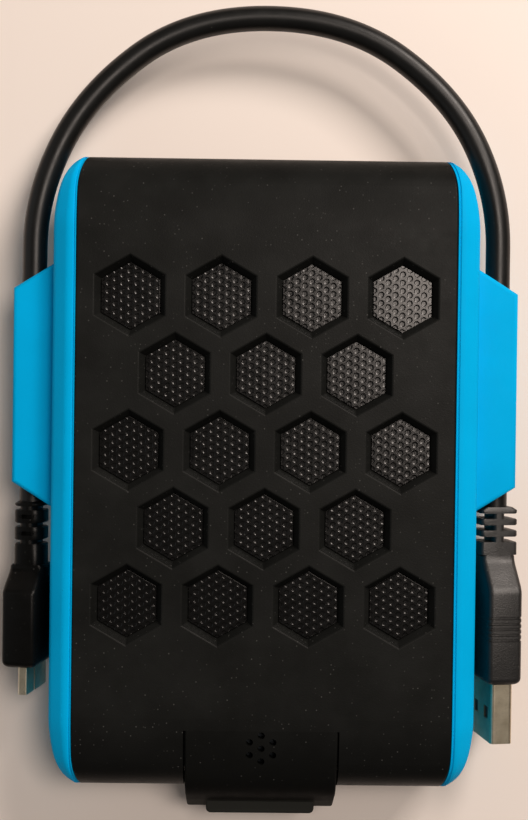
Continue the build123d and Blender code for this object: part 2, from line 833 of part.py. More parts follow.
# Rubber buffers over the four corners of the disc drive
drive_envelope = block(-half_drive, half_drive, drive_near, drive_far, drive_base_z, drive_top_z)
buffer_room = slab(cavity + fit, room_half - fit)
for end_name, corner_y, outward in (("far", drive_far, 1), ("near", drive_near, -1)):
    for side_name, side in (("left", -1), ("right", 1)):
        outer_y = corner_y + outward * buffer_wrap
        inner_y = corner_y - outward * (buffer_size - buffer_wrap)
        outer_x = side * half_width
        inner_x = side * (half_drive - buffer_size + buffer_wrap)
        cushion = block(
            min(inner_x, outer_x),
            max(inner_x, outer_x),
            min(inner_y, outer_y),
            max(inner_y, outer_y),
            0,
            body_height,
        )
        nodes[f"{end_name}_{side_name}_buffer"] = (cushion & buffer_room) - drive_envelope

# Lead: straight in both wings, then one loop round the far end
lead_bend_y = half_length - lead_bend_inset
lead_shoulder_y = half_length + lead_shoulder_reach
lead_crest_y = half_length + lead_crest_reach
lead_points = [
    (-lead_x, lead_start_y, middle),
    (-lead_x, lead_bend_y, middle),
    (-lead_shoulder_x, lead_shoulder_y, middle - lead_sag / 2),
    (-lead_crest_x, lead_crest_y, middle - lead_sag),
    (lead_crest_x, lead_crest_y, middle - lead_sag),
    (lead_shoulder_x, lead_shoulder_y, middle - lead_sag / 2),
    (lead_x, lead_bend_y, middle),
    (lead_x, lead_start_y, middle),
]
lead_radii = []
for before, at, after in zip(lead_points, lead_points[1:], lead_points[2:]):
    into = Vector(at) - Vector(before)
    away = Vector(after) - Vector(at)
    room = 0.45 * min(into.length, away.length)
    lead_radii.append(room / tan(radians(into.get_angle(away)) / 2))
lead_path = FilletPolyline(*lead_points, radius=lead_radii)
lead_start = Plane(origin=lead_points[0], z_dir=(0, 1, 0))
nodes["cable_lead"] = sweep(lead_start * Circle(lead_diameter / 2), path=lead_path)


# Plugs, drawn with the lead coming in along Y at the origin and the wide side upright
def slotted_relief(length, neck_length, width, corner, spine, slot_turns):
    """Strain relief and neck of a plug, with slots turned about the lead."""
    section = Plane.XZ * RectangleRounded(width, relief_height, corner)
    relief = extrude(section, length + neck_length)
    slot_step = length / len(slot_turns)
    slot_depth = (width - spine) / 2
    for level, angle in enumerate(slot_turns):
        span = relief_slot_span if angle else 2 * relief_height
        slot_cut = Box(2 * slot_depth, slot_step * relief_slot_share, span)
        turn = Pos(0, -slot_step * (level + 0.5), 0) * Rot(0, angle, 0)
        for side in (1, -1):
            relief -= turn * Pos(side * width / 2, 0, 0) * slot_cut
    return relief


def handle(shoulder_y, shoulder, tip_y):
    """Flat grip of a plug, swept out from the height of its strain relief to its full width."""
    relief_half = relief_height / 2
    body_y = shoulder_y - shoulder
    edges = [Line((shoulder_y, -relief_half), (shoulder_y, relief_half))]
    for side in (1, -1):
        neck_end = (shoulder_y, side * relief_half)
        bend = ((shoulder_y + body_y) / 2, side * (relief_half + grip_width / 2) / 2)
        body_start = (body_y, side * grip_width / 2)
        edges.append(TangentArc(neck_end, bend, tangent=(-1, 0)))
        edges.append(TangentArc(body_start, bend, tangent=(1, 0)))
        edges.append(Line(body_start, (tip_y, side * grip_width / 2)))
    edges.append(Line((tip_y, -grip_width / 2), (tip_y, grip_width / 2)))
    solid = extrude(Plane.YZ * make_face(edges), grip_thickness / 2, both=True)
    solid = fillet(solid.edges().filter_by(Axis.X).group_by(Axis.Y)[0], grip_corner)
    rims = solid.faces().filter_by(Axis.X).edges()
    return fillet(rims.filter_by(lambda edge: edge.center().Y < shoulder_y - fit), grip_round)


def shell_tube(width, thickness, wall, front, length):
    """Folded steel shell of a plug, from inside its grip to its open end."""
    back = front + shell_seat
    tube = block(-thickness / 2, thickness / 2, front - length, back, -width / 2, width / 2)
    tube = fillet(tube.edges().filter_by(Axis.Y), thickness * 0.18)
    room_x = thickness / 2 - wall
    room_z = width / 2 - wall
    return tube - block(-room_x, room_x, front - length - 1, back - wall, -room_z, room_z)


usb_front = -usb_relief_length - usb_grip_length
usb_grip = slotted_relief(
    usb_relief_length, usb_neck_length, usb_relief_width, usb_relief_corner, usb_relief_spine, (0, 0, 0)
)
usb_grip += handle(-usb_relief_length - usb_neck_length, usb_shoulder, usb_front)
usb_shell = shell_tube(usb_shell_width, usb_shell_thickness, usb_wall, usb_front, usb_shell_length)
latch_cut = Box(2 * usb_shell_thickness, latch_length, latch_width)
for up in (-latch_offset, latch_offset):
    usb_shell -= Pos(0, usb_front - latch_inset, up) * latch_cut
usb_room = block(
    -usb_shell_thickness / 2 - fit / 2,
    usb_shell_thickness / 2 + fit / 2,
    usb_front - 1,
    usb_front + shell_seat,
    -usb_shell_width / 2 - fit / 2,
    usb_shell_width / 2 + fit / 2,
)
for rib in range(rib_count):
    rib_y = usb_front + rib_inset + rib_pitch * rib
    for side in (1, -1):
        rib_cut = Box(2 * grip_thickness, rib_pitch / 2, 2 * rib_depth)
        usb_grip -= Pos(0, rib_y, side * grip_width / 2) * rib_cut
usb_grip -= usb_room
tongue_x = -usb_shell_thickness / 2 + usb_wall
tongue_z = usb_shell_width / 2 - usb_wall - fit
usb_tip = usb_front - usb_shell_length
usb_seat = usb_front + shell_seat - usb_wall
contact_x = tongue_x + usb_tongue_thickness
usb_tongue = block(tongue_x, contact_x, usb_tip + 1.0, usb_seat, -tongue_z, tongue_z)
usb_contacts = []
for place in (-3.5, -1.0, 1.0, 3.5):
    usb_contacts.append(
        block(
            contact_x,
            contact_x + usb_contact_thickness,
            usb_tip + 2.0,
            usb_tip + 9.0,
            place - 0.5,
            place + 0.5,
        )
    )
usb_place = Pos(lead_x, lead_start_y, middle) * Rot(0, plug_roll, 0)
# The corner of the larger strain relief is kept clear of the wing beside it
wing_room = Pos(0, -3 * fit, middle) * extrude(wing_plan, wing_height / 2 + fit, both=True)
nodes["usb_plug_body"] = usb_place * usb_grip - wing_room
nodes["usb_plug_shell"] = usb_place * usb_shell
nodes["usb_plug_tongue"] = usb_place * usb_tongue
nodes["usb_plug_contacts"] = Compound([usb_place * contact for contact in usb_contacts])

small_front = -small_relief_length - small_grip_length
small_shell = shell_tube(
    small_shell_width, small_shell_thickness, small_wall, small_front, small_shell_length
)
small_step = Pos(small_shell_thickness / 2, small_front - small_shell_length / 2 - 1, small_step_z)
small_shell -= small_step * Box(3 * small_wall, small_shell_length, 0.6)
small_room = block(
    -small_shell_thickness / 2 - fit / 2,
    small_shell_thickness / 2 + fit / 2,
    small_front - 1,
    small_front + shell_seat,
    -small_shell_width / 2 - fit / 2,
    small_shell_width / 2 + fit / 2,
)
small_tongue_plate = block(
    -small_shell_thickness / 2 + small_wall,
    -small_shell_thickness / 2 + small_wall + small_tongue_thickness,
    small_front - small_shell_length + small_tongue_thickness,
    small_front + shell_seat - small_wall,
    -small_shell_width / 2 + small_wall + fit,
    small_shell_width / 2 - small_wall - fit,
)
small_place = Pos(-lead_x, lead_start_y, middle) * Rot(0, -plug_roll, 0)
shell_place = Pos(small_shell_offset, 0, 0)
small_grip = slotted_relief(
    small_relief_length,
    small_neck_length,
    small_relief_width,
    small_relief_corner,
    small_relief_spine,
    (0, 90, 0, 90, 0),
)
small_grip += handle(-small_relief_length - small_neck_length, small_shoulder, small_front)
small_grip -= shell_place * small_room
nodes["small_plug_body"] = small_place * small_grip
nodes["small_plug_shell"] = small_place * shell_place * small_shell
nodes["small_plug_tongue"] = small_place * shell_place * small_tongue_plate

for name, piece in nodes.items():
    export_step(piece, f"parts/{name}.step")
print("lead", round(lead_path.length, 1), "bends", [round(r, 1) for r in lead_radii])
print("body", round(body_length, 2), round(body_width, 2), round(body_height, 2))
print("flap hinge", round(flap_hinge_y, 3), round(hinge_z, 3), "spindle", round(spindle_y, 3))
print("pivot", arm_side, round(pivot_y, 3), "arm swing", round(arm_swing, 2))
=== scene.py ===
import math
from types import SimpleNamespace

import bmesh
import bpy
from mathutils import Matrix, Vector


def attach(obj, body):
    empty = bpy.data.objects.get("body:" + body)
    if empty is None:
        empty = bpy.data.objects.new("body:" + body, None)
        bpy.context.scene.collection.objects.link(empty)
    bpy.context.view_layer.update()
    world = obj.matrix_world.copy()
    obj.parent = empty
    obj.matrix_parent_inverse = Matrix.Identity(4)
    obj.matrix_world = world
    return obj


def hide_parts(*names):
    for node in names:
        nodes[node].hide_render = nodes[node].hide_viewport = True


# A rugged portable hard drive on a pale floor.
# X runs across the drive, Y along it away from the port, Z up, and the back rests at Z = 0.
# Lengths are in metres, apart from those that say millimetres. Angles are in degrees.

MM = 0.001

# Camera, with its lens and sensor in millimetres
CAMERA_PLACE = (-2.73 * MM, 14.5 * MM, 269.2 * MM)
CAMERA_TURN = (-0.443, -0.566, 0.733)
CAMERA_LENS = 55.55
CAMERA_SENSOR = 36.0
CAMERA_NEAR = 10.0 * MM

# Lead, with the middle line of its loop in millimetres
LEAD_DIAMETER = 5.0 * MM
LEAD_ROUTE = (
    (-47.15, -6.5, 11.3),
    (-47.15, 35.2, 11.3),
    (-46.9, 56.0, 11.3),
    (-36.9, 76.6, 10.55),
    (-16.0, 92.6, 9.8),
    (16.0, 92.6, 9.8),
    (37.6, 77.0, 10.55),
    (47.15, 57.0, 11.3),
    (47.15, 35.2, 11.3),
    (47.15, -6.5, 11.3),
)
LEAD_STEPS = 16
LEAD_ROUND_STEPS = 7

# Grips of the plugs, in millimetres from the end of the lead, which comes in along Y
# The relief is slotted down to its spine, and the shoulder slopes from the neck to the full width
USB_GRIP = SimpleNamespace(
    relief_length=7.0,
    relief_width=7.8,
    relief_corner=0.9,
    spine=2.4,
    side_slots=(True, True, True),
    neck_length=2.6,
    shoulder=7.4,
    ribs=5,
    tip=-35.1,
    seat_half_x=2.3,
    seat_half_z=6.05,
    seat_offset=0.0,
)
SMALL_GRIP = SimpleNamespace(
    relief_length=8.5,
    relief_width=6.0,
    relief_corner=2.0,
    spine=3.6,
    side_slots=(True, False, True, False, True),
    neck_length=4.2,
    shoulder=5.4,
    ribs=0,
    tip=-32.7,
    seat_half_x=0.975,
    seat_half_z=6.15,
    seat_offset=0.5,
)
PLUG_ROLL = 9.0
RELIEF_HALF_HEIGHT = 3.3
RELIEF_END_SHARE = 0.78
RELIEF_END_RUN = 0.45
FIN_ROUND = 0.2
SLOT_SHARE = 0.46
SLOT_HALF_SPAN = 1.6
GRIP_HALF_THICKNESS = 3.5
GRIP_HALF_WIDTH = 7.8
GRIP_CORNER = 1.4
GRIP_ROUND = 1.1
GRIP_ROUND_STEPS = 5
GRIP_CREASE = 35.0
LARGEST_CORNER = 0.98
SHOULDER_STEP = 0.3
RIB_PITCH = 1.1
RIB_INSET = 9.0
RIB_DEPTH = 0.35
RIB_WIDTH = 0.55
RIB_EDGE = 0.1
SEAT_DEPTH = 4.0
SEAT_CORNER = 0.3
# Share of an oval slot's run, and its width there as a share of the full span
SLOT_OVAL = ((0.0, 0.55), (0.15, 0.85), (0.4, 1.0), (0.6, 1.0), (0.85, 0.85), (1.0, 0.55))
# Share of the shoulder's run, and of its rise there, up to where it runs straight
SHOULDER_BEND = ((0.0, 0.0), (0.06, 0.012), (0.13, 0.055), (0.22, 0.135))

# Dimpled pads in the hexagonal windows
WINDOW_ROWS = (4, 3, 4, 3, 4)
WINDOW_PITCH = 17.8 * MM
WINDOW_ROW_PITCH = 15.1 * MM
WINDOW_MIDDLE_Y = 4.5 * MM
PAD_ACROSS = 11.3 * MM
PAD_FOOT = 20.5 * MM
PAD_RISE = 0.45 * MM
PAD_CREASE = 62.0
DIMPLE_PITCH = 1.62 * MM
DIMPLE_RADIUS = 0.62 * MM
DIMPLE_DEPTH = 0.10 * MM
DIMPLE_SEGMENTS = 12
DIMPLE_COLUMNS = 4
DIMPLE_ROWS = 5
DIMPLE_REACH = 4.6 * DIMPLE_PITCH
DIMPLE_MERGE = 0.01 * MM
# Share of a dimple's radius, and of its depth there
DIMPLE_SECTION = ((0.40, 1.0), (0.70, 1.0), (0.76, 0.94), (0.93, 0.10), (0.99, 0.0), (1.05, 0.0))

# Side bumpers
HALF_WIDTH = 42.05 * MM
HALF_LENGTH = 63.0 * MM
MIDDLE_Z = 11.3 * MM
FLAT_STEPS = 6
CROWN_RADIUS = 34.0 * MM
CROWN_RUN = 15.2 * MM
CROWN_STEPS = 10
END_ROLL = 8.4 * MM
END_STEPS = 12
SLOPE_WIDTH = 3.1 * MM
SLOPE_DROP = 2.3 * MM
SLOPE_ROUND = 2.0 * MM
SLOPE_TOP_STEPS = 5
SLOPE_SIDE_STEPS = 8
SLOPE_TRIES = 8
CORNER_WIDTH = 6.5 * MM
CORNER_LENGTH = 15.0 * MM
PANEL_EDGE = 37.2 * MM
PANEL_CORNER = 24.0 * MM
PANEL_OVERRUN = 16.0 * MM
SEAM = 0.1 * MM
SKIN = 2.3 * MM
INSIDE_HALF = 40.1 * MM
INSIDE_ROLL = 3.1 * MM
INSIDE_START = 8.0
INSIDE_STEPS = 5
BUMPER_CREASE = 40.0
RIM_WIDTH = 0.75 * MM
# Distance from the black panel and depth below the top, in millimetres
RIM_SECTION = ((0.66, 0.0), (0.52, 0.20), (0.30, 0.26), (0.19, 0.06), (0.07, 0.03), (0.0, 0.12))

# Wings of the bumpers, which hold the lead
WING_REACH = 8.5 * MM
WING_MIDDLE_Y = 17.0 * MM
WING_ROOT_HALF = 24.7 * MM
WING_TIP_HALF = 19.4 * MM
WING_HALF_HEIGHT = 4.8 * MM
WING_ROOT_DEPTH = 1.0 * MM
WING_ROUND = 0.9 * MM
WING_ROUND_STEPS = 5
BORE_RADIUS = 2.75 * MM
BORE_STEPS = 24
MOUTH_HALF = 2.1 * MM

# Points of the grips and bumpers that are this close become one
MERGE = 0.002 * MM

# Places of the two colours and of their blend among the sockets of a mix node
MIX_INPUTS = (6, 7)
MIX_OUTPUT = 2

# Patterns of the finishes
NOISE_LOW = 0.3
NOISE_HIGH = 0.7
MOULDED_CLOUD = 9.0 * MM
MOULDED_WEAR = 3.0 * MM
WARM_SHEEN = (1.0, 0.91, 0.85, 1.0)
DUST_COLOUR = (0.060, 0.056, 0.050, 1.0)
DUST_SPACING = 0.9 * MM
DUST_RADIUS = 0.17 * MM
DUST_CORE = 0.5
DUST_FAINTNESS = 2.0
METAL_CLOUD = 2.5 * MM
BRUSH_SIZE = 0.25 * MM
BRUSH_DEPTH = 0.004 * MM
# How fine the lines of brushed metal are along X, Y and Z
ACROSS = (1.0, 8.0, 1.0)
ALONG = (8.0, 1.0, 1.0)
EVEN = (1.0, 1.0, 1.0)
# Tones painted over the colour as shade and highlight, and the places along the drive where each starts and
# is full, in millimetres
# Painted shade: darker towards the port end and over the flap's bend
PAINTED_SHADE_AT_PORT = ((0.0048, 0.0046, 0.0041, 1.0), -42.0, -64.0)
# Painted highlight: paler top of the flap's lip
PAINTED_HIGHLIGHT_ON_LIP = ((0.0270, 0.0255, 0.0215, 1.0), -66.2, -66.8)

# Finishes of moulded rubber and plastic
SILICONE_DARK = (0.0076, 0.0073, 0.0064, 1.0)
SILICONE_LIGHT = (0.0124, 0.0119, 0.0106, 1.0)
GRIP_DARK = (0.0022, 0.0021, 0.0019, 1.0)
GRIP_LIGHT = (0.0036, 0.0034, 0.0030, 1.0)
MOULDED_FINISHES = {
    # The black panel and the flap carry painted shade towards the port, and the flap also a painted
    # highlight on its lip
    "black_silicone": dict(
        dark=SILICONE_DARK, light=SILICONE_LIGHT, roughness=(0.36, 0.44),
        grain=0.30 * MM, depth=0.020 * MM, dust=0.58, specular=0.062, painted_light=(PAINTED_SHADE_AT_PORT,),
    ),
    "flap_silicone": dict(
        dark=SILICONE_DARK, light=SILICONE_LIGHT, roughness=(0.50, 0.60),
        grain=0.30 * MM, depth=0.020 * MM, dust=0.30, specular=0.018, painted_light=(PAINTED_SHADE_AT_PORT, PAINTED_HIGHLIGHT_ON_LIP),
    ),
    "blue_silicone": dict(
        dark=(0.0, 0.370, 0.680, 1.0), light=(0.0, 0.392, 0.720, 1.0), roughness=(0.55, 0.65),
        grain=0.30 * MM, depth=0.012 * MM, specular=0.03,
    ),
    "case_plastic": dict(
        dark=(0.0012, 0.0011, 0.0010, 1.0), light=(0.0020, 0.0019, 0.0017, 1.0), roughness=(0.18, 0.24),
        grain=0.12 * MM, depth=0.006 * MM, dust=0.2, specular=0.37,
    ),
    "seal_rubber": dict(
        dark=(0.020, 0.020, 0.021, 1.0), light=(0.030, 0.030, 0.031, 1.0), roughness=(0.60, 0.75),
        grain=0.20 * MM, depth=0.015 * MM,
    ),
    "black_insulator": dict(
        dark=(0.012, 0.012, 0.012, 1.0), light=(0.018, 0.018, 0.018, 1.0), roughness=(0.40, 0.50),
        grain=0.15 * MM, depth=0.008 * MM,
    ),
    "lead_jacket": dict(
        dark=(0.0040, 0.0039, 0.0036, 1.0), light=(0.0058, 0.0056, 0.0050, 1.0), roughness=(0.32, 0.40),
        grain=0.25 * MM, depth=0.010 * MM, dust=0.1, specular=0.32,
    ),
    "plug_grip": dict(
        dark=GRIP_DARK, light=GRIP_LIGHT, roughness=(0.40, 0.50),
        grain=0.27 * MM, depth=0.055 * MM, dust=0.3, specular=0.70,
    ),
    "small_grip": dict(
        dark=GRIP_DARK, light=GRIP_LIGHT, roughness=(0.28, 0.36),
        grain=0.22 * MM, depth=0.020 * MM, dust=0.2, specular=0.13,
    ),
    "chip": dict(
        dark=(0.016, 0.016, 0.017, 1.0), light=(0.026, 0.026, 0.027, 1.0), roughness=(0.45, 0.60),
        grain=0.10 * MM, depth=0.008 * MM,
    ),
    "white_plastic": dict(
        dark=(0.62, 0.61, 0.58, 1.0), light=(0.72, 0.71, 0.68, 1.0), roughness=(0.35, 0.48),
        grain=0.20 * MM, depth=0.008 * MM,
    ),
    "lamp": dict(
        dark=(0.60, 0.66, 0.72, 1.0), light=(0.78, 0.82, 0.86, 1.0), roughness=(0.20, 0.30),
        grain=0.15 * MM, depth=0.006 * MM,
    ),
}

# Finishes of metal
METAL_FINISHES = {
    "steel": dict(
        dark=(0.60, 0.49, 0.34, 1.0), light=(0.74, 0.62, 0.45, 1.0), roughness=(0.26, 0.40), brush=ACROSS,
    ),
    "casting": dict(
        dark=(0.50, 0.51, 0.52, 1.0), light=(0.62, 0.63, 0.64, 1.0), roughness=(0.42, 0.58), brush=EVEN,
    ),
    "platter": dict(
        dark=(0.80, 0.80, 0.81, 1.0), light=(0.86, 0.86, 0.87, 1.0), roughness=(0.03, 0.07), brush=EVEN,
    ),
    "magnet": dict(
        dark=(0.55, 0.53, 0.48, 1.0), light=(0.66, 0.63, 0.57, 1.0), roughness=(0.16, 0.28), brush=EVEN,
    ),
    "gold": dict(
        dark=(0.78, 0.52, 0.18, 1.0), light=(0.86, 0.62, 0.26, 1.0), roughness=(0.18, 0.28), brush=ALONG,
    ),
}

# Circuit boards
LACQUER_DARK = (0.010, 0.075, 0.035, 1.0)
LACQUER_LIGHT = (0.012, 0.090, 0.042, 1.0)
LACQUER_CLOUD = 1.5 * MM
LACQUER_ROUGHNESS = (0.25, 0.40)
TRACK_COLOUR = (0.030, 0.160, 0.070, 1.0)
TRACK_PITCH = 2.4 * MM
TRACK_SHARE = 0.04
TRACK_DEPTH = 0.02 * MM

# Wound wire
WIRE_DARK = (0.30, 0.09, 0.03, 1.0)
WIRE_LIGHT = (0.75, 0.30, 0.12, 1.0)
WIRE_PITCH = 1.2 * MM
WIRE_WAVER = 1.0
WIRE_DEPTH = 0.05 * MM
ENAMEL_CLOUD = 0.6 * MM
ENAMEL_ROUGHNESS = (0.25, 0.4)

# Clear plastic of the light guide
SMOKE_DARK = (0.030, 0.034, 0.038, 1.0)
SMOKE_LIGHT = (0.050, 0.054, 0.060, 1.0)
SMOKE_CLOUD = 1.0 * MM
SMOKE_GRAIN = 0.4 * MM
SMOKE_ROUGHNESS = (0.3, 0.5)
SMOKE_CLEARNESS = 0.6

# Floor and light, with the name, place, size, watts and colour of each lamp
FLOOR_HALF = 1.5
FLOOR_COLOUR = (0.84, 0.70, 0.61, 1.0)
FLOOR_PALE = (0.8568, 0.7140, 0.6222, 1.0)
FLOOR_CLOUD = 60.0 * MM
FLOOR_ROUGHNESS = 0.6
FLOOR_SPECULAR = 0.2
WORLD_COLOUR = (1.0, 0.97, 0.94, 1.0)
WORLD_STRENGTH = 0.10
AIM = (0.0, 12.0 * MM, 10.0 * MM)
LAMPS = (
    ("key", (0.285, 0.395, 0.40), 0.20, 2.75, (1.0, 0.97, 0.94)),
    ("overhead", (0.25, 0.19, 0.87), 0.31, 3.8, (1.0, 0.96, 0.92)),
    ("fill", (-0.70, 0.05, 0.30), 0.90, 1.0, (0.84, 0.93, 1.0)),
)

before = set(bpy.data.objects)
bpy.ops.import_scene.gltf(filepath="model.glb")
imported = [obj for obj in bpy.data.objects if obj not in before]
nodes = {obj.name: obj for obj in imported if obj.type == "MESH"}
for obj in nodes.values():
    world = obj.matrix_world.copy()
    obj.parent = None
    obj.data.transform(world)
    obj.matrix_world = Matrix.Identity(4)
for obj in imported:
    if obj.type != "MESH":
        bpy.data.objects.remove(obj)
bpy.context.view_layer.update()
scene = bpy.context.scene
scene.view_settings.view_transform = "Standard"


# Building blocks of the materials
def start_material(name):
    """A new material with a principled shader, and the coordinates of its surface in metres."""
    material = bpy.data.materials.new(name)
    material.use_nodes = True
    tree = material.node_tree
    shader = tree.nodes["Principled BSDF"]
    place = tree.nodes.new("ShaderNodeTexCoord").outputs["Object"]
    return material, tree, shader, place


def noise(tree, place, size, detail=3.0, stretch=EVEN):
    """Cloudy pattern of the given grain size, from 0 to 1."""
    mapping = tree.nodes.new("ShaderNodeMapping")
    mapping.inputs["Scale"].default_value = stretch
    tree.links.new(place, mapping.inputs["Vector"])
    texture = tree.nodes.new("ShaderNodeTexNoise")
    texture.inputs["Scale"].default_value = 1.0 / size
    texture.inputs["Detail"].default_value = detail
    tree.links.new(mapping.outputs["Vector"], texture.inputs["Vector"])
    return texture.outputs["Fac"]


def spread(tree, value, low, high, to_low, to_high):
    """A value drawn out from one range to another, and held inside it."""
    node = tree.nodes.new("ShaderNodeMapRange")
    node.inputs["From Min"].default_value = low
    node.inputs["From Max"].default_value = high
    node.inputs["To Min"].default_value = to_low
    node.inputs["To Max"].default_value = to_high
    tree.links.new(value, node.inputs["Value"])
    return node.outputs["Result"]


def draw_out(tree, pattern, low=0.0, high=1.0):
    """A noise pattern whose middle range is drawn out to run from low to high."""
    return spread(tree, pattern, NOISE_LOW, NOISE_HIGH, low, high)


def mix_colours(tree, share, first, second):
    """Blend of two colours, each a fixed colour or another pattern."""
    node = tree.nodes.new("ShaderNodeMix")
    node.data_type = "RGBA"
    tree.links.new(share, node.inputs["Factor"])
    for socket, colour in zip(MIX_INPUTS, (first, second)):
        if isinstance(colour, tuple):
            node.inputs[socket].default_value = colour
        else:
            tree.links.new(colour, node.inputs[socket])
    return node.outputs[MIX_OUTPUT]


def combine(tree, operation, first, second):
    """A pattern put together with another, or with a number, by one operation."""
    node = tree.nodes.new("ShaderNodeMath")
    node.operation = operation
    tree.links.new(first, node.inputs[0])
    if isinstance(second, float):
        node.inputs[1].default_value = second
    else:
        tree.links.new(second, node.inputs[1])
    return node.outputs[0]


def vary_roughness(tree, shader, pattern, roughness):
    """Roughness that follows a noise pattern through its range."""
    tree.links.new(draw_out(tree, pattern, *roughness), shader.inputs["Roughness"])


def raise_bump(tree, shader, height, depth):
    """Fine relief of the surface, as deep as depth."""
    node = tree.nodes.new("ShaderNodeBump")
    node.inputs["Distance"].default_value = depth
    tree.links.new(height, node.inputs["Height"])
    tree.links.new(node.outputs["Normal"], shader.inputs["Normal"])


def specks(tree, place, share):
    """Loose dust: one grain in some cells of a scattered grid, most of them faint."""
    cells = tree.nodes.new("ShaderNodeTexVoronoi")
    cells.inputs["Scale"].default_value = 1.0 / DUST_SPACING
    tree.links.new(place, cells.inputs["Vector"])
    parts = tree.nodes.new("ShaderNodeSeparateColor")
    tree.links.new(cells.outputs["Color"], parts.inputs["Color"])
    chosen = combine(tree, "GREATER_THAN", parts.outputs["Red"], 1.0 - share)
    size = DUST_RADIUS / DUST_SPACING
    grain = spread(tree, cells.outputs["Distance"], DUST_CORE * size, size, 1.0, 0.0)
    faintness = combine(tree, "POWER", parts.outputs["Green"], DUST_FAINTNESS)
    strength = combine(tree, "MULTIPLY", grain, faintness)
    return combine(tree, "MULTIPLY", strength, chosen)


def towards_port(tree, place, start, end):
    """Share that grows from 0 to 1 between two places along the drive, in millimetres."""
    parts = tree.nodes.new("ShaderNodeSeparateXYZ")
    tree.links.new(place, parts.inputs["Vector"])
    return spread(tree, parts.outputs["Y"], start * MM, end * MM, 0.0, 1.0)


# Materials
def moulded(name, dark, light, roughness, grain, depth, dust=0.0, specular=0.5, painted_light=()):
    """Moulded rubber or plastic: cloudy colour, uneven gloss, fine grain, dust, and painted shade and
    highlight at given places along the drive.
    """
    material, tree, shader, place = start_material(name)
    cloud = draw_out(tree, noise(tree, place, MOULDED_CLOUD, detail=6.0))
    colour = mix_colours(tree, cloud, dark, light)
    # Painted shade and painted highlight laid over the colour along the drive
    for tone, start, end in painted_light:
        colour = mix_colours(tree, towards_port(tree, place, start, end), colour, tone)
    if dust > 0.0:
        colour = mix_colours(tree, specks(tree, place, dust), colour, DUST_COLOUR)
    tree.links.new(colour, shader.inputs["Base Color"])
    vary_roughness(tree, shader, noise(tree, place, MOULDED_WEAR, detail=5.0), roughness)
    shader.inputs["Specular IOR Level"].default_value = specular
    shader.inputs["Specular Tint"].default_value = WARM_SHEEN
    raise_bump(tree, shader, noise(tree, place, grain, detail=4.0), depth)
    return material


def metal(name, dark, light, roughness, brush):
    """Rolled, cast or plated metal: clouded tint, and fine lines or grain in the way of the brush."""
    material, tree, shader, place = start_material(name)
    cloud = draw_out(tree, noise(tree, place, METAL_CLOUD))
    tree.links.new(mix_colours(tree, cloud, dark, light), shader.inputs["Base Color"])
    shader.inputs["Metallic"].default_value = 1.0
    lines = noise(tree, place, BRUSH_SIZE, stretch=brush)
    vary_roughness(tree, shader, lines, roughness)
    raise_bump(tree, shader, lines, BRUSH_DEPTH)
    return material


def circuit_board(name):
    """Green lacquer over copper tracks."""
    material, tree, shader, place = start_material(name)
    tracks = tree.nodes.new("ShaderNodeTexBrick")
    tracks.inputs["Scale"].default_value = 1.0 / TRACK_PITCH
    tracks.inputs["Mortar Size"].default_value = TRACK_SHARE
    tracks.inputs["Color1"].default_value = LACQUER_DARK
    tracks.inputs["Color2"].default_value = LACQUER_LIGHT
    tracks.inputs["Mortar"].default_value = TRACK_COLOUR
    tree.links.new(place, tracks.inputs["Vector"])
    tree.links.new(tracks.outputs["Color"], shader.inputs["Base Color"])
    vary_roughness(tree, shader, noise(tree, place, LACQUER_CLOUD), LACQUER_ROUGHNESS)
    raise_bump(tree, shader, tracks.outputs["Fac"], TRACK_DEPTH)
    return material


def winding(name):
    """Fine enamelled copper wire, turn beside turn."""
    material, tree, shader, place = start_material(name)
    turns = tree.nodes.new("ShaderNodeTexWave")
    turns.wave_type = "RINGS"
    turns.inputs["Scale"].default_value = 1.0 / WIRE_PITCH
    turns.inputs["Distortion"].default_value = WIRE_WAVER
    tree.links.new(place, turns.inputs["Vector"])
    colour = mix_colours(tree, turns.outputs["Fac"], WIRE_DARK, WIRE_LIGHT)
    tree.links.new(colour, shader.inputs["Base Color"])
    shader.inputs["Metallic"].default_value = 1.0
    vary_roughness(tree, shader, noise(tree, place, ENAMEL_CLOUD), ENAMEL_ROUGHNESS)
    raise_bump(tree, shader, turns.outputs["Fac"], WIRE_DEPTH)
    return material


def clear_plastic(name):
    """Smoky clear plastic that carries the lamp's light."""
    material, tree, shader, place = start_material(name)
    cloud = draw_out(tree, noise(tree, place, SMOKE_CLOUD))
    tree.links.new(mix_colours(tree, cloud, SMOKE_DARK, SMOKE_LIGHT), shader.inputs["Base Color"])
    shader.inputs["Transmission Weight"].default_value = SMOKE_CLEARNESS
    vary_roughness(tree, shader, noise(tree, place, SMOKE_GRAIN), SMOKE_ROUGHNESS)
    return material


materials = {name: moulded(name, **finish) for name, finish in MOULDED_FINISHES.items()}
materials.update({name: metal(name, **finish) for name, finish in METAL_FINISHES.items()})
materials["board"] = circuit_board("board")
materials["copper"] = winding("copper")
materials["clear_plastic"] = clear_plastic("clear_plastic")


def dress_nodes():
    """Each piece takes the finish of its material slot, apart from the flap and the larger plug's tongue."""
    for node in nodes.values():
        for holder in node.material_slots:
            holder.material = materials[holder.material.name]
    nodes["port_flap"].material_slots[0].material = materials["flap_silicone"]
    nodes["usb_plug_tongue"].material_slots[0].material = materials["black_insulator"]


dress_nodes()


# Camera
def add_camera():
    """Camera above the drive, turned a little."""
    data = bpy.data.cameras.new("camera")
    data.sensor_fit = "VERTICAL"
    data.sensor_height = CAMERA_SENSOR
    data.lens = CAMERA_LENS
    data.clip_start = CAMERA_NEAR
    camera = bpy.data.objects.new("camera", data)
    camera.location = CAMERA_PLACE
    camera.rotation_euler = [math.radians(angle) for angle in CAMERA_TURN]
    scene.collection.objects.link(camera)
    scene.camera = camera


add_camera()


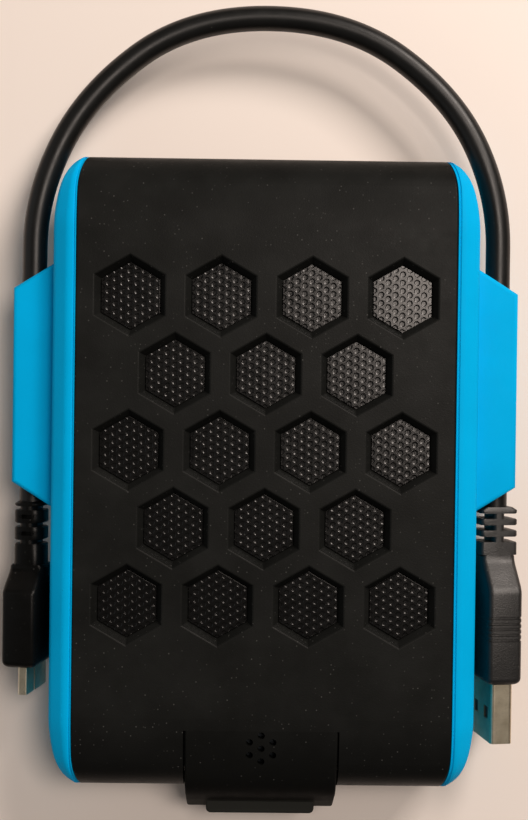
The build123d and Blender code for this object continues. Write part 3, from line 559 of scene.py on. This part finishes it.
# Building blocks of the pieces
def arc_angles(first, last, steps):
    """Even steps from one angle in degrees to another, as radians."""
    return [math.radians(first + (last - first) * step / steps) for step in range(steps + 1)]


def join_rings(mesh, rings):
    """Walls between each line round a piece and the next. Gives the points of the lines."""
    lines = [[mesh.verts.new(place) for place in ring] for ring in rings]
    for line, beyond in zip(lines, lines[1:]):
        for step in range(len(line)):
            after = (step + 1) % len(line)
            mesh.faces.new((line[step], line[after], beyond[after], beyond[step]))
    return lines


def merge_points(mesh):
    """Points that fall together become one, and walls with no width go."""
    bmesh.ops.remove_doubles(mesh, verts=mesh.verts, dist=MERGE)
    bmesh.ops.dissolve_degenerate(mesh, edges=mesh.edges, dist=MERGE)


def add_piece(name, mesh, crease, finish):
    """A finished mesh as a piece of the scene, smooth apart from edges sharper than crease."""
    data = bpy.data.meshes.new(name)
    mesh.to_mesh(data)
    mesh.free()
    data.polygons.foreach_set("use_smooth", [True] * len(data.polygons))
    data.set_sharp_from_angle(angle=math.radians(crease))
    data.materials.append(materials[finish])
    piece = bpy.data.objects.new(name, data)
    scene.collection.objects.link(piece)
    return piece


# Grips of the plugs
def grip_section(half_x, half_z, corner, slot_half=0.0, slot_depth=0.0):
    """Rounded rectangle, with a slot in its top and bottom where one is given."""
    corner = min(corner, LARGEST_CORNER * half_x, LARGEST_CORNER * half_z)
    quarter = []
    for angle in arc_angles(0.0, 90.0, GRIP_ROUND_STEPS):
        x = half_x - corner + corner * math.cos(angle)
        z = half_z - corner + corner * math.sin(angle)
        quarter.append((x, z))
    quarter += [(slot_half, half_z), (slot_half, half_z - slot_depth)]
    half = quarter + [(-x, z) for x, z in reversed(quarter)]
    return half + [(-x, -z) for x, z in half]


def side_slot_rings(start, end, full, core, corner):
    """Lines of two slots at the sides, between fins with soft edges."""
    soft = full - FIN_ROUND
    profile = ((start + FIN_ROUND, full), (start, soft), (start, core))
    profile += ((end, core), (end, soft), (end - FIN_ROUND, full))
    return [(y, grip_section(half, RELIEF_HALF_HEIGHT, corner)) for y, half in profile]


def oval_slot_rings(start, end, full, core, corner):
    """Lines of two oval slots, in the top and the bottom."""
    closed = grip_section(full, RELIEF_HALF_HEIGHT, corner, SLOT_OVAL[0][1] * SLOT_HALF_SPAN)
    rings = [(start, closed)]
    for share, span in SLOT_OVAL:
        section = grip_section(full, RELIEF_HALF_HEIGHT, corner, span * SLOT_HALF_SPAN, full - core)
        rings.append((start + share * (end - start), section))
    rings.append((end, closed))
    return rings


def relief_rings(grip):
    """Lines of the strain relief and the neck, with slots at the sides or in the top and bottom."""
    full = grip.relief_width / 2
    corner = grip.relief_corner
    pitch = grip.relief_length / len(grip.side_slots)
    first_fin = pitch * (1.0 - SLOT_SHARE)
    whole = grip_section(full, RELIEF_HALF_HEIGHT, corner)
    rings = [(0.0, grip_section(RELIEF_END_SHARE * full, RELIEF_HALF_HEIGHT - FIN_ROUND, corner))]
    rings.append((-RELIEF_END_RUN * first_fin, whole))
    for level, at_sides in enumerate(grip.side_slots):
        start = -pitch * (level + 1.0 - SLOT_SHARE)
        end = -pitch * (level + 1.0)
        slot_rings = side_slot_rings if at_sides else oval_slot_rings
        rings += slot_rings(start, end, full, grip.spine / 2, corner)
    rings.append((-grip.relief_length - grip.neck_length, whole))
    return rings


def handle_rings(grip):
    """Lines of the flat handle, from its sloping shoulder over the grooves to the tip."""
    start = -grip.relief_length - grip.neck_length
    rings = [(start, grip_section(GRIP_HALF_THICKNESS - SHOULDER_STEP, RELIEF_HALF_HEIGHT, GRIP_ROUND))]
    rise = GRIP_HALF_WIDTH - RELIEF_HALF_HEIGHT
    upper_bend = [(1.0 - share, 1.0 - height) for share, height in reversed(SHOULDER_BEND)]
    for share, height in (*SHOULDER_BEND, *upper_bend):
        section = grip_section(GRIP_HALF_THICKNESS, RELIEF_HALF_HEIGHT + rise * height, GRIP_ROUND)
        rings.append((start - SHOULDER_STEP - share * (grip.shoulder - SHOULDER_STEP), section))
    full = grip_section(GRIP_HALF_THICKNESS, GRIP_HALF_WIDTH, GRIP_ROUND)
    groove = grip_section(GRIP_HALF_THICKNESS, GRIP_HALF_WIDTH - RIB_DEPTH, GRIP_ROUND)
    for rib in reversed(range(grip.ribs)):
        middle = grip.tip + RIB_INSET + RIB_PITCH * rib
        far = middle + RIB_WIDTH / 2
        near = middle - RIB_WIDTH / 2
        rings += [(far, full), (far - RIB_EDGE, groove), (near + RIB_EDGE, groove), (near, full)]
    for angle in arc_angles(0.0, 90.0, GRIP_ROUND_STEPS):
        drop = 1.0 - math.cos(angle)
        half_x = GRIP_HALF_THICKNESS - GRIP_ROUND * drop
        half_z = GRIP_HALF_WIDTH - GRIP_CORNER * drop
        y = grip.tip + GRIP_CORNER * (1.0 - math.sin(angle))
        rings.append((y, grip_section(half_x, half_z, GRIP_ROUND)))
    return rings


def seat_rings(grip):
    """Lines of the opening in the tip where the steel shell sits."""
    middle = grip_section(grip.seat_half_x, grip.seat_half_z, SEAT_CORNER)
    section = [(x + grip.seat_offset, z) for x, z in middle]
    return [(grip.tip, section), (grip.tip + SEAT_DEPTH, section)]


def add_grip(name, node, sizes, place, roll, finish):
    """One moulded grip at the end of the lead, rolled about it."""
    rings = relief_rings(sizes) + handle_rings(sizes) + seat_rings(sizes)
    mesh = bmesh.new()
    lines = join_rings(mesh, [[(x * MM, y * MM, z * MM) for x, z in section] for y, section in rings])
    mesh.faces.new(lines[0])
    mesh.faces.new(lines[-1])
    merge_points(mesh)
    bmesh.ops.recalc_face_normals(mesh, faces=mesh.faces)
    turn = Matrix.Rotation(math.radians(roll), 4, "Y")
    mesh.transform(Matrix.Translation(Vector(place) * MM) @ turn)
    grip = add_piece(name, mesh, GRIP_CREASE, finish)
    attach(grip, "case")
    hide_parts(node)
    return grip


def add_grips():
    """The grips of the full-size plug at the right and the small one at the left."""
    return [
        add_grip("usb_grip", "usb_plug_body", USB_GRIP, LEAD_ROUTE[-1], PLUG_ROLL, "plug_grip"),
        add_grip("small_grip", "small_plug_body", SMALL_GRIP, LEAD_ROUTE[0], -PLUG_ROLL, "small_grip"),
    ]


# Lead
def add_lead(grips):
    """One round cable through both wings and round the far end."""
    curve = bpy.data.curves.new("lead", "CURVE")
    curve.dimensions = "3D"
    line = curve.splines.new("NURBS")
    line.points.add(len(LEAD_ROUTE) - 1)
    for point, place in zip(line.points, LEAD_ROUTE):
        point.co = (place[0] * MM, place[1] * MM, place[2] * MM, 1.0)
    line.order_u = 3
    line.use_endpoint_u = True
    curve.resolution_u = LEAD_STEPS
    curve.bevel_depth = LEAD_DIAMETER / 2
    curve.bevel_resolution = LEAD_ROUND_STEPS
    curve.use_fill_caps = True
    lead = bpy.data.objects.new("lead", curve)
    scene.collection.objects.link(lead)
    curve.materials.append(materials["lead_jacket"])
    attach(lead, "case")
    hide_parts("cable_lead")


add_lead(add_grips())


# Side bumpers
def quarter_stations():
    """Centre, radius and direction of points from the middle of the top to the middle of the far end."""
    crown_start = HALF_LENGTH - CROWN_RUN
    crown_z = 2 * MIDDLE_Z - CROWN_RADIUS
    roll_y = HALF_LENGTH - END_ROLL
    between = CROWN_RADIUS - END_ROLL
    roll_z = crown_z + math.sqrt(between**2 - (roll_y - crown_start) ** 2)
    meet = math.degrees(math.asin((roll_y - crown_start) / between))
    flat = [(crown_start * step / FLAT_STEPS, MIDDLE_Z, MIDDLE_Z, 0.0) for step in range(FLAT_STEPS)]
    crown = [(crown_start, crown_z, CROWN_RADIUS, angle) for angle in arc_angles(0.0, meet, CROWN_STEPS)]
    roll = [(roll_y, roll_z, END_ROLL, angle) for angle in arc_angles(meet, 90.0, END_STEPS)[1:]]
    end = (roll_y, MIDDLE_Z, END_ROLL, math.radians(90.0))
    stations = flat + crown + roll + [end]
    return [(y, z, radius, math.sin(angle), math.cos(angle)) for y, z, radius, angle in stations]


def side_stations():
    """Points all round the drive's side, from the middle of the top over the far end."""
    quarter = quarter_stations()
    under = [(y, 2 * MIDDLE_Z - z, radius, out, -up) for y, z, radius, out, up in quarter]
    far_half = quarter + under[-2::-1]
    near_half = [(-y, z, radius, -out, up) for y, z, radius, out, up in far_half]
    return far_half + near_half[-2:0:-1]


def outer_x(y):
    """Outer side of a bumper, swept in at its corners."""
    run = min(1.0, max(0.0, (abs(y) - HALF_LENGTH + CORNER_LENGTH) / CORNER_LENGTH))
    return HALF_WIDTH - CORNER_WIDTH * (1.0 - math.sqrt(1.0 - run**2))


def inner_x(y):
    """Inner side of a bumper, along the edge of the black panels."""
    run = max(0.0, abs(y) - HALF_LENGTH - PANEL_OVERRUN + PANEL_CORNER)
    return PANEL_EDGE + SEAM - PANEL_CORNER + math.sqrt(PANEL_CORNER**2 - run**2)


def slope_section():
    """Distance from the outer side and depth below the top, over the slope and its two soft edges."""
    tilt = math.degrees(math.atan(SLOPE_DROP / SLOPE_WIDTH))
    top_x = SLOPE_WIDTH + SLOPE_ROUND * math.tan(math.radians(tilt / 2))
    side_z = SLOPE_DROP + SLOPE_ROUND * math.tan(math.radians(45.0 - tilt / 2))
    section = []
    for angle in arc_angles(0.0, tilt, SLOPE_TOP_STEPS):
        section.append((top_x - SLOPE_ROUND * math.sin(angle), SLOPE_ROUND * (1.0 - math.cos(angle))))
    for angle in arc_angles(tilt, 90.0, SLOPE_SIDE_STEPS):
        section.append((SLOPE_ROUND * (1.0 - math.sin(angle)), side_z - SLOPE_ROUND * math.cos(angle)))
    return section


def slope_ring(section, reach, depth):
    """One line round the slope, which narrows with the bumper towards its corners."""
    ring = []
    for centre_y, centre_z, radius, out, up in side_stations():
        # The depth follows the room at y, and y follows the depth, so both settle in a few tries
        low = depth
        for _ in range(SLOPE_TRIES):
            y = centre_y + (radius - low) * out
            outer = outer_x(y)
            room = max(0.0, outer - inner_x(y) - RIM_WIDTH)
            share = min(1.0, room / section[0][0])
            low = share * depth
        ring.append((outer - share * reach, y, centre_z + (radius - low) * up))
    return ring


def rim_ring(across, depth):
    """One line round the rim, this far from the black panel and below the top."""
    ring = []
    for centre_y, centre_z, radius, out, up in side_stations():
        y = centre_y + (radius - depth) * out
        x = min(inner_x(y) + across, outer_x(y))
        ring.append((x, y, centre_z + (radius - depth) * up))
    return ring


def inside_ring(x, depth):
    """One line round the inside of a bumper, over the hard case."""
    ring = []
    for centre_y, centre_z, radius, out, up in side_stations():
        ring.append((x, centre_y + (radius - depth) * out, centre_z + (radius - depth) * up))
    return ring


def bumper_rings():
    """All lines of a bumper, from its outer side over the rim to its inside."""
    section = slope_section()
    rings = [slope_ring(section, reach, depth) for reach, depth in reversed(section)]
    rings += [rim_ring(across * MM, depth * MM) for across, depth in RIM_SECTION]
    rings.append(rim_ring(0.0, SKIN))
    for angle in arc_angles(INSIDE_START, 90.0, INSIDE_STEPS):
        x = INSIDE_HALF - INSIDE_ROLL * (1.0 - math.sin(angle))
        rings.append(inside_ring(x, SKIN + INSIDE_ROLL * (1.0 - math.cos(angle))))
    return rings


def close_side(mesh, ring):
    """Upright wall inside one line round the side."""
    count = len(ring)
    quarter = count // 4
    for step in range(quarter):
        far = (step, step + 1, 2 * quarter - step - 1, 2 * quarter - step)
        near = (-step % count, (-step - 1) % count, 2 * quarter + step + 1, 2 * quarter + step)
        for corners in (far, near):
            mesh.faces.new([ring[place] for place in dict.fromkeys(corners)])


def wing_outline():
    """Upright section of a wing, with the bore for the lead and its mouth."""
    tip = HALF_WIDTH + WING_REACH
    root = HALF_WIDTH - WING_ROOT_DEPTH
    lead_x = LEAD_ROUTE[-1][0] * MM
    gape = math.degrees(math.asin(MOUTH_HALF / BORE_RADIUS))
    outline = [(root, WING_HALF_HEIGHT), (tip, WING_HALF_HEIGHT), (tip, MOUTH_HALF)]
    for angle in arc_angles(gape, 360.0 - gape, BORE_STEPS):
        outline.append((lead_x + BORE_RADIUS * math.cos(angle), BORE_RADIUS * math.sin(angle)))
    outline += [(tip, -MOUTH_HALF), (tip, -WING_HALF_HEIGHT), (root, -WING_HALF_HEIGHT)]
    return outline


def add_wing(mesh):
    """The wing of the right bumper, with slanting ends and soft edges."""
    outline = wing_outline()
    ends = []
    for way in (1, -1):
        end = []
        for x, z in outline:
            share = (x - HALF_WIDTH) / WING_REACH
            half = WING_ROOT_HALF + share * (WING_TIP_HALF - WING_ROOT_HALF)
            end.append(mesh.verts.new((x, WING_MIDDLE_Y + way * half, MIDDLE_Z + z)))
        ends.append(end)
        mesh.faces.new(end)
    for step in range(len(outline)):
        after = (step + 1) % len(outline)
        mesh.faces.new((ends[0][step], ends[1][step], ends[1][after], ends[0][after]))
    soft = []
    last = len(outline) - 1
    for end in ends:
        soft.append(mesh.edges.get((end[0], end[1])))
        soft.append(mesh.edges.get((end[last - 1], end[last])))
    for place in (1, last - 1):
        soft.append(mesh.edges.get((ends[0][place], ends[1][place])))
    bmesh.ops.bevel(
        mesh,
        geom=soft,
        offset=WING_ROUND,
        offset_type="OFFSET",
        segments=WING_ROUND_STEPS,
        profile=0.5,
        affect="EDGES",
    )


def add_bumper(name, side):
    """One soft bumper with its wing, on the right for side 1 and on the left for side -1."""
    mesh = bmesh.new()
    lines = join_rings(mesh, bumper_rings())
    close_side(mesh, lines[0])
    close_side(mesh, lines[-1])
    merge_points(mesh)
    add_wing(mesh)
    bmesh.ops.scale(mesh, vec=(side, 1.0, 1.0), verts=mesh.verts)
    bmesh.ops.recalc_face_normals(mesh, faces=mesh.faces)
    bumper = add_piece(name, mesh, BUMPER_CREASE, "blue_silicone")
    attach(bumper, "case")
    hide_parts(name.removeprefix("soft_"))


add_bumper("soft_left_bumper", -1)
add_bumper("soft_right_bumper", 1)


# Dimpled pads
def window_places():
    """Middles of the hexagonal windows."""
    places = []
    for row, count in enumerate(WINDOW_ROWS):
        y = WINDOW_MIDDLE_Y + WINDOW_ROW_PITCH * ((len(WINDOW_ROWS) - 1) / 2 - row)
        for column in range(count):
            places.append((WINDOW_PITCH * (column - (count - 1) / 2), y))
    return places


def land_radius(angle):
    """Distance from a dimple's middle to the edge of its six-sided share of the pad."""
    turn = (math.degrees(angle) + 30.0) % 60.0 - 30.0
    return DIMPLE_PITCH / 2 / math.cos(math.radians(turn))


def add_dimple(mesh, x, y):
    """One flat-floored dimple and the land round it."""
    middle = mesh.verts.new((x, y, PAD_RISE - DIMPLE_DEPTH))
    angles = [math.radians(90.0 + 360.0 * step / DIMPLE_SEGMENTS) for step in range(DIMPLE_SEGMENTS)]
    rings = []
    for share, depth in DIMPLE_SECTION:
        radius = share * DIMPLE_RADIUS
        z = PAD_RISE - depth * DIMPLE_DEPTH
        ring = [(x + radius * math.cos(angle), y + radius * math.sin(angle), z) for angle in angles]
        rings.append([mesh.verts.new(place) for place in ring])
    edge = []
    for angle in angles:
        radius = land_radius(angle - math.radians(90.0))
        edge.append(mesh.verts.new((x + radius * math.cos(angle), y + radius * math.sin(angle), PAD_RISE)))
    rings.append(edge)
    for step in range(DIMPLE_SEGMENTS):
        after = (step + 1) % DIMPLE_SEGMENTS
        mesh.faces.new((middle, rings[0][step], rings[0][after]))
        for inner, outer in zip(rings, rings[1:]):
            mesh.faces.new((inner[step], outer[step], outer[after], inner[after]))


def dimpled_pad():
    """One six-sided pad about the origin, its outer dimples cut by its sides."""
    mesh = bmesh.new()
    column_pitch = DIMPLE_PITCH * math.cos(math.radians(30.0))
    for column in range(-DIMPLE_COLUMNS, DIMPLE_COLUMNS + 1):
        for row in range(-DIMPLE_ROWS, DIMPLE_ROWS + 1):
            y = DIMPLE_PITCH * (row + (column % 2) / 2)
            if abs(y) + abs(column) * DIMPLE_PITCH / 2 < DIMPLE_REACH:
                add_dimple(mesh, column * column_pitch, y)
    bmesh.ops.remove_doubles(mesh, verts=mesh.verts, dist=DIMPLE_MERGE)
    for side in range(6):
        angle = math.radians(60.0 * side)
        way = Vector((math.cos(angle), math.sin(angle), 0.0))
        geometry = mesh.verts[:] + mesh.edges[:] + mesh.faces[:]
        bmesh.ops.bisect_plane(
            mesh, geom=geometry, plane_co=way * PAD_ACROSS / 2, plane_no=way, clear_outer=True
        )
    rim = [edge for edge in mesh.edges if edge.is_boundary]
    walls = bmesh.ops.extrude_edge_only(mesh, edges=rim)["geom"]
    for part in walls:
        if isinstance(part, bmesh.types.BMVert):
            part.co.z = 0.0
    foot = [edge for edge in mesh.edges if edge.is_boundary]
    bmesh.ops.contextual_create(mesh, geom=foot)
    bmesh.ops.recalc_face_normals(mesh, faces=mesh.faces)
    return mesh


def add_pads():
    """The dimpled floors of all the windows, on the pads of the hard case."""
    pad = dimpled_pad()
    single = bpy.data.meshes.new("single_pad")
    pad.to_mesh(single)
    pad.free()
    whole = bmesh.new()
    for x, y in window_places():
        first = len(whole.verts)
        whole.from_mesh(single)
        whole.verts.ensure_lookup_table()
        bmesh.ops.translate(whole, verts=whole.verts[first:], vec=(x, y, PAD_FOOT))
    bpy.data.meshes.remove(single)
    pads = add_piece("window_pads", whole, PAD_CREASE, "case_plastic")
    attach(pads, "case")


add_pads()


# Floor and light
def add_floor():
    """Plain pale floor."""
    mesh = bpy.data.meshes.new("floor")
    corners = [(x * FLOOR_HALF, y * FLOOR_HALF, 0.0) for x, y in ((-1, -1), (1, -1), (1, 1), (-1, 1))]
    mesh.from_pydata(corners, [], [(0, 1, 2, 3)])
    material, tree, shader, place = start_material("floor")
    cloud = noise(tree, place, FLOOR_CLOUD)
    tree.links.new(mix_colours(tree, cloud, FLOOR_COLOUR, FLOOR_PALE), shader.inputs["Base Color"])
    shader.inputs["Roughness"].default_value = FLOOR_ROUGHNESS
    shader.inputs["Specular IOR Level"].default_value = FLOOR_SPECULAR
    mesh.materials.append(material)
    floor = bpy.data.objects.new("floor", mesh)
    scene.collection.objects.link(floor)


def add_world():
    """Even light from all round."""
    world = bpy.data.worlds.new("world")
    world.use_nodes = True
    back = world.node_tree.nodes["Background"]
    back.inputs["Color"].default_value = WORLD_COLOUR
    back.inputs["Strength"].default_value = WORLD_STRENGTH
    scene.world = world


def add_light(name, place, size, power, colour):
    """A soft square lamp that looks at the drive."""
    data = bpy.data.lights.new(name, "AREA")
    data.shape = "SQUARE"
    data.size = size
    data.energy = power
    data.color = colour
    lamp = bpy.data.objects.new(name, data)
    lamp.location = place
    lamp.rotation_euler = (Vector(AIM) - Vector(place)).to_track_quat("-Z", "Y").to_euler()
    scene.collection.objects.link(lamp)


add_floor()
add_world()
for lamp in LAMPS:
    add_light(*lamp)
